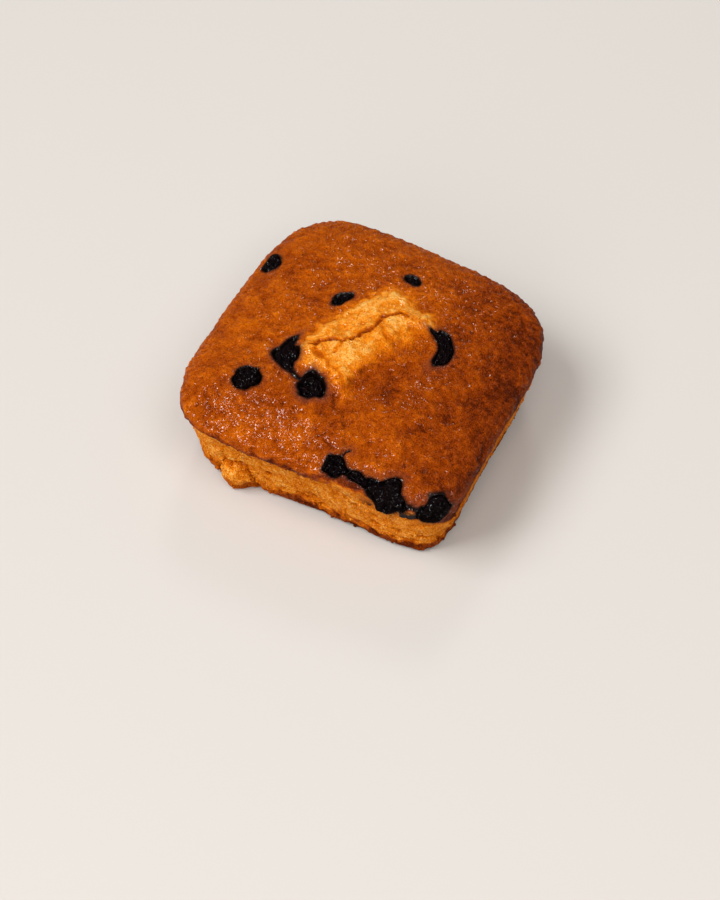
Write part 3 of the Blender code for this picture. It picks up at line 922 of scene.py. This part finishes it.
def cakeFields(points, isTop, warp, crackShade, stain, wet):
    # What the finish reads: crust or crumb, how browned with painted shade added, and where the relief and
    # loose crumbs go.
    x, y, z = points.T
    look = browningAndShade
    edge = crustEdge(x, y) + crustReach["ragged"] * warp[0]
    crust = blend(edge - 1.0, edge + 1.0, z)
    wide = cloud(points, look["wideSize"], 3, 2)
    small = cloud(points, look["smallSize"], 4, 3)
    pale = insideBy(x + 1.8 * warp[0], y + 1.8 * warp[1], splitTop["outline"])
    pale = blend(-1.5, 3.5, pale) * isTop * (1 - paleFlank["less"] * bell(x, y, paleFlank))
    # painted shade: the crust top grows darker towards the right, away from the light
    top = look["crust"] + look["rightShade"] * blend(look["rightFrom"], look["rightTo"], x + 0.25 * y)
    top = top + look["wide"] * wide + look["small"] * small
    # painted shade in the hollows and the crease, and some further browning
    for spot in shadeAndBrownSpots:
        top = top + spot["more"] * bell(x, y, spot)
    # painted shade in the cracks of the top
    top = top - look["pale"] * pale + (look["crackTop"] + look["crackPale"] * pale) * crackShade
    side = look["crumb"] + look["sides"] * (1 - blend(0.6, 0.9, -y / plan["halfY"]))
    side = side + 0.5 * look["wide"] * wide + look["small"] * small
    foot = 1 - blend(look["footHeight"] * 0.3, look["footHeight"], z + look["footRagged"] * warp[1])
    foot = foot * (look["footLeft"] + (1 - look["footLeft"]) * blend(-18, 0, x))
    # painted shade in the tears of the crumb face
    side = side + look["crackCrumb"] * crackShade
    side = side + (look["foot"] - side) * foot
    # dark line at the crust's lower edge: browning, with painted shadow under the overhang
    rim = look["rim"] * np.exp(-(((z - edge - look["rimUp"]) / look["rimWidth"]) ** 2))
    toastAndShade = side + (top - side) * crust + rim
    free = blend(0.0, 0.8, z) * (1 - 0.8 * wet)  # no relief under the base, and little in the juice
    crumbly = (1 - crust) * (1 - wet) * (0.25 + 0.75 * blend(0.5, 0.9, -y / plan["halfY"]))
    crumbly = crumbly * blend(0.3, 0.9, z) * blend(-0.1, 0.5, small)
    return dict(crust=crust, toastAndShade=toastAndShade, stain=stain, wet=wet, free=free, crumbly=crumbly)


def placeBerries(surface):
    # Each berry sits where its CAD node does, turned to lie in the crust there.
    placed = {}
    made = {}
    for number, (name, look) in enumerate(berries.items()):
        low, high = (Vector(corner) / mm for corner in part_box(name))
        middle = (low + high) / 2
        near, normal, face, gap = surface.find_nearest(middle)
        turn = berryFrame(look, normal)
        local, ridge = berryPoints(look, number + 1)
        points = local @ np.array(turn.to_3x3()).T
        offset = np.array(middle) - (points.min(0) + points.max(0)) / 2
        offset -= (1 - look["top"]) * look["depth"] / 4 * np.array(normal)
        placed[name] = (Matrix.Translation(Vector(offset)) @ turn, look)
        made[name] = (points + offset, ridge)
    return placed, made


def finishPiece(thing, node, material=None):
    if material is not None:
        thing.data.materials.clear()
        thing.data.materials.append(material)
    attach(thing, "root")
    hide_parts(node)
    return thing


print("finishes")
fineGrain = fineGrainGroup()
bakedColour = bakedColourGroup()
bakedCake = cakeMaterial(fineGrain, bakedColour)
bakedBerry = berryMaterial(fineGrain)

print("cake: shape")
points, faces, cap, topCount = cakeGrid()
cakeLow, cakeHigh = (np.array(corner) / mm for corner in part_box("cake"))
shift = (cakeLow + cakeHigh) / 2 - (points.min(0) + points.max(0)) / 2
shift[2] = 0.0
isTop = np.arange(len(points)) < topCount
warp = cloud(points, crackPath["warpSize"], 1, 2), cloud(points, crackPath["warpSize"], 2, 2)
plainPoints = points.copy()  # the shape before it is cracked, for the fields
surface = BVHTree.FromPolygons([Vector(p) for p in points + shift], faces.tolist())
placed, berryShapes = placeBerries(surface)
crackShade = cutCracks(points, isTop, warp)
points += shift
stain, wet = cutPockets(points, faces, placed)
fields = cakeFields(plainPoints, isTop, warp, crackShade, stain, wet)
cake = makeMesh("cakeBody", points, faces, cap)
for label, values in fields.items():
    setField(cake, label, values)

print("cake: grain and crumbs")
applyTree(cake, crumbReliefTree(), {**relief, "Material": bakedCake})
crumbs = applyTree(cake, looseCrumbsTree(), {**looseCrumbs, "Material": bakedCake}, target="cakeCrumbs")
finishPiece(cake, "cake")
finishPiece(crumbs, "cake")

print("berries")
berryPolygons = berryFaces()
for name, (shape, ridge) in berryShapes.items():
    berry = makeMesh(name.replace("berry_", "berry-"), shape, berryPolygons)
    setField(berry, "ridge", ridge)
    finishPiece(berry, name, bakedBerry)

print("studio")
room = dict(tone=(0.95, 0.97, 1.0, 1.0), strength=0.26)
camera = dict(place=(193.3, -393.1, 526.8), aim=(8.3, -22.0, 12.0), lens=92.8)
lights = [
    dict(name="windowLight", toward=(-0.52, -0.45, 0.95), distance=3.2, size=(2.0, 1.5), power=102.0,
         colour=(0.93, 0.97, 1.0)),
    dict(name="overheadLight", toward=(0.45, -0.35, 1.0), distance=1.6, size=(1.1, 1.1), power=16.0,
         colour=(1.0, 0.99, 0.97)),
    dict(name="frontLight", toward=(0.10, -1.0, 0.45), distance=2.5, size=(1.5, 1.0), power=19.0,
         colour=(1.0, 0.98, 0.95)),
    dict(name="glintLight", toward=(-0.46, -0.58, 0.60), distance=1.8, size=(0.50, 0.40), power=5.5,
         colour=(0.93, 0.97, 1.0)),
    dict(name="backLight", toward=(-0.28, 0.75, 0.70), distance=1.5, size=(0.3, 0.3), power=3.0,
         colour=(1.0, 1.0, 1.0)),
]
scene = bpy.context.scene
scene.view_settings.view_transform = "Standard"

floorMesh = bpy.data.meshes.new("floor")
floorMesh.from_pydata([(-3, -3, 0), (3, -3, 0), (3, 3, 0), (-3, 3, 0)], [], [(0, 1, 2, 3)])
floor = bpy.data.objects.new("floor", floorMesh)
floorMesh.materials.append(floorMaterial())
scene.collection.objects.link(floor)

planShift = Vector(shift)
lens = bpy.data.cameras.new("camera")
lens.lens = camera["lens"]
lens.sensor_width = 36.0
lens.clip_start = 0.01
looker = bpy.data.objects.new("camera", lens)
looker.location = (Vector(camera["place"]) + planShift) * mm
aim = (Vector(camera["aim"]) + planShift) * mm
looker.rotation_euler = (aim - looker.location).to_track_quat("-Z", "Y").to_euler()
scene.collection.objects.link(looker)
scene.camera = looker

for light in lights:
    lamp = bpy.data.lights.new(light["name"], "AREA")
    lamp.shape = "RECTANGLE"
    lamp.size, lamp.size_y = light["size"]
    lamp.energy = light["power"]
    lamp.color = light["colour"]
    holder = bpy.data.objects.new(light["name"], lamp)
    toward = Vector(light["toward"]).normalized()
    holder.location = toward * light["distance"]
    holder.rotation_euler = (-toward).to_track_quat("-Z", "Y").to_euler()
    scene.collection.objects.link(holder)
world = bpy.data.worlds.new("softRoom")
world.use_nodes = True
world.node_tree.nodes["Background"].inputs[0].default_value = room["tone"]
world.node_tree.nodes["Background"].inputs[1].default_value = room["strength"]
scene.world = world
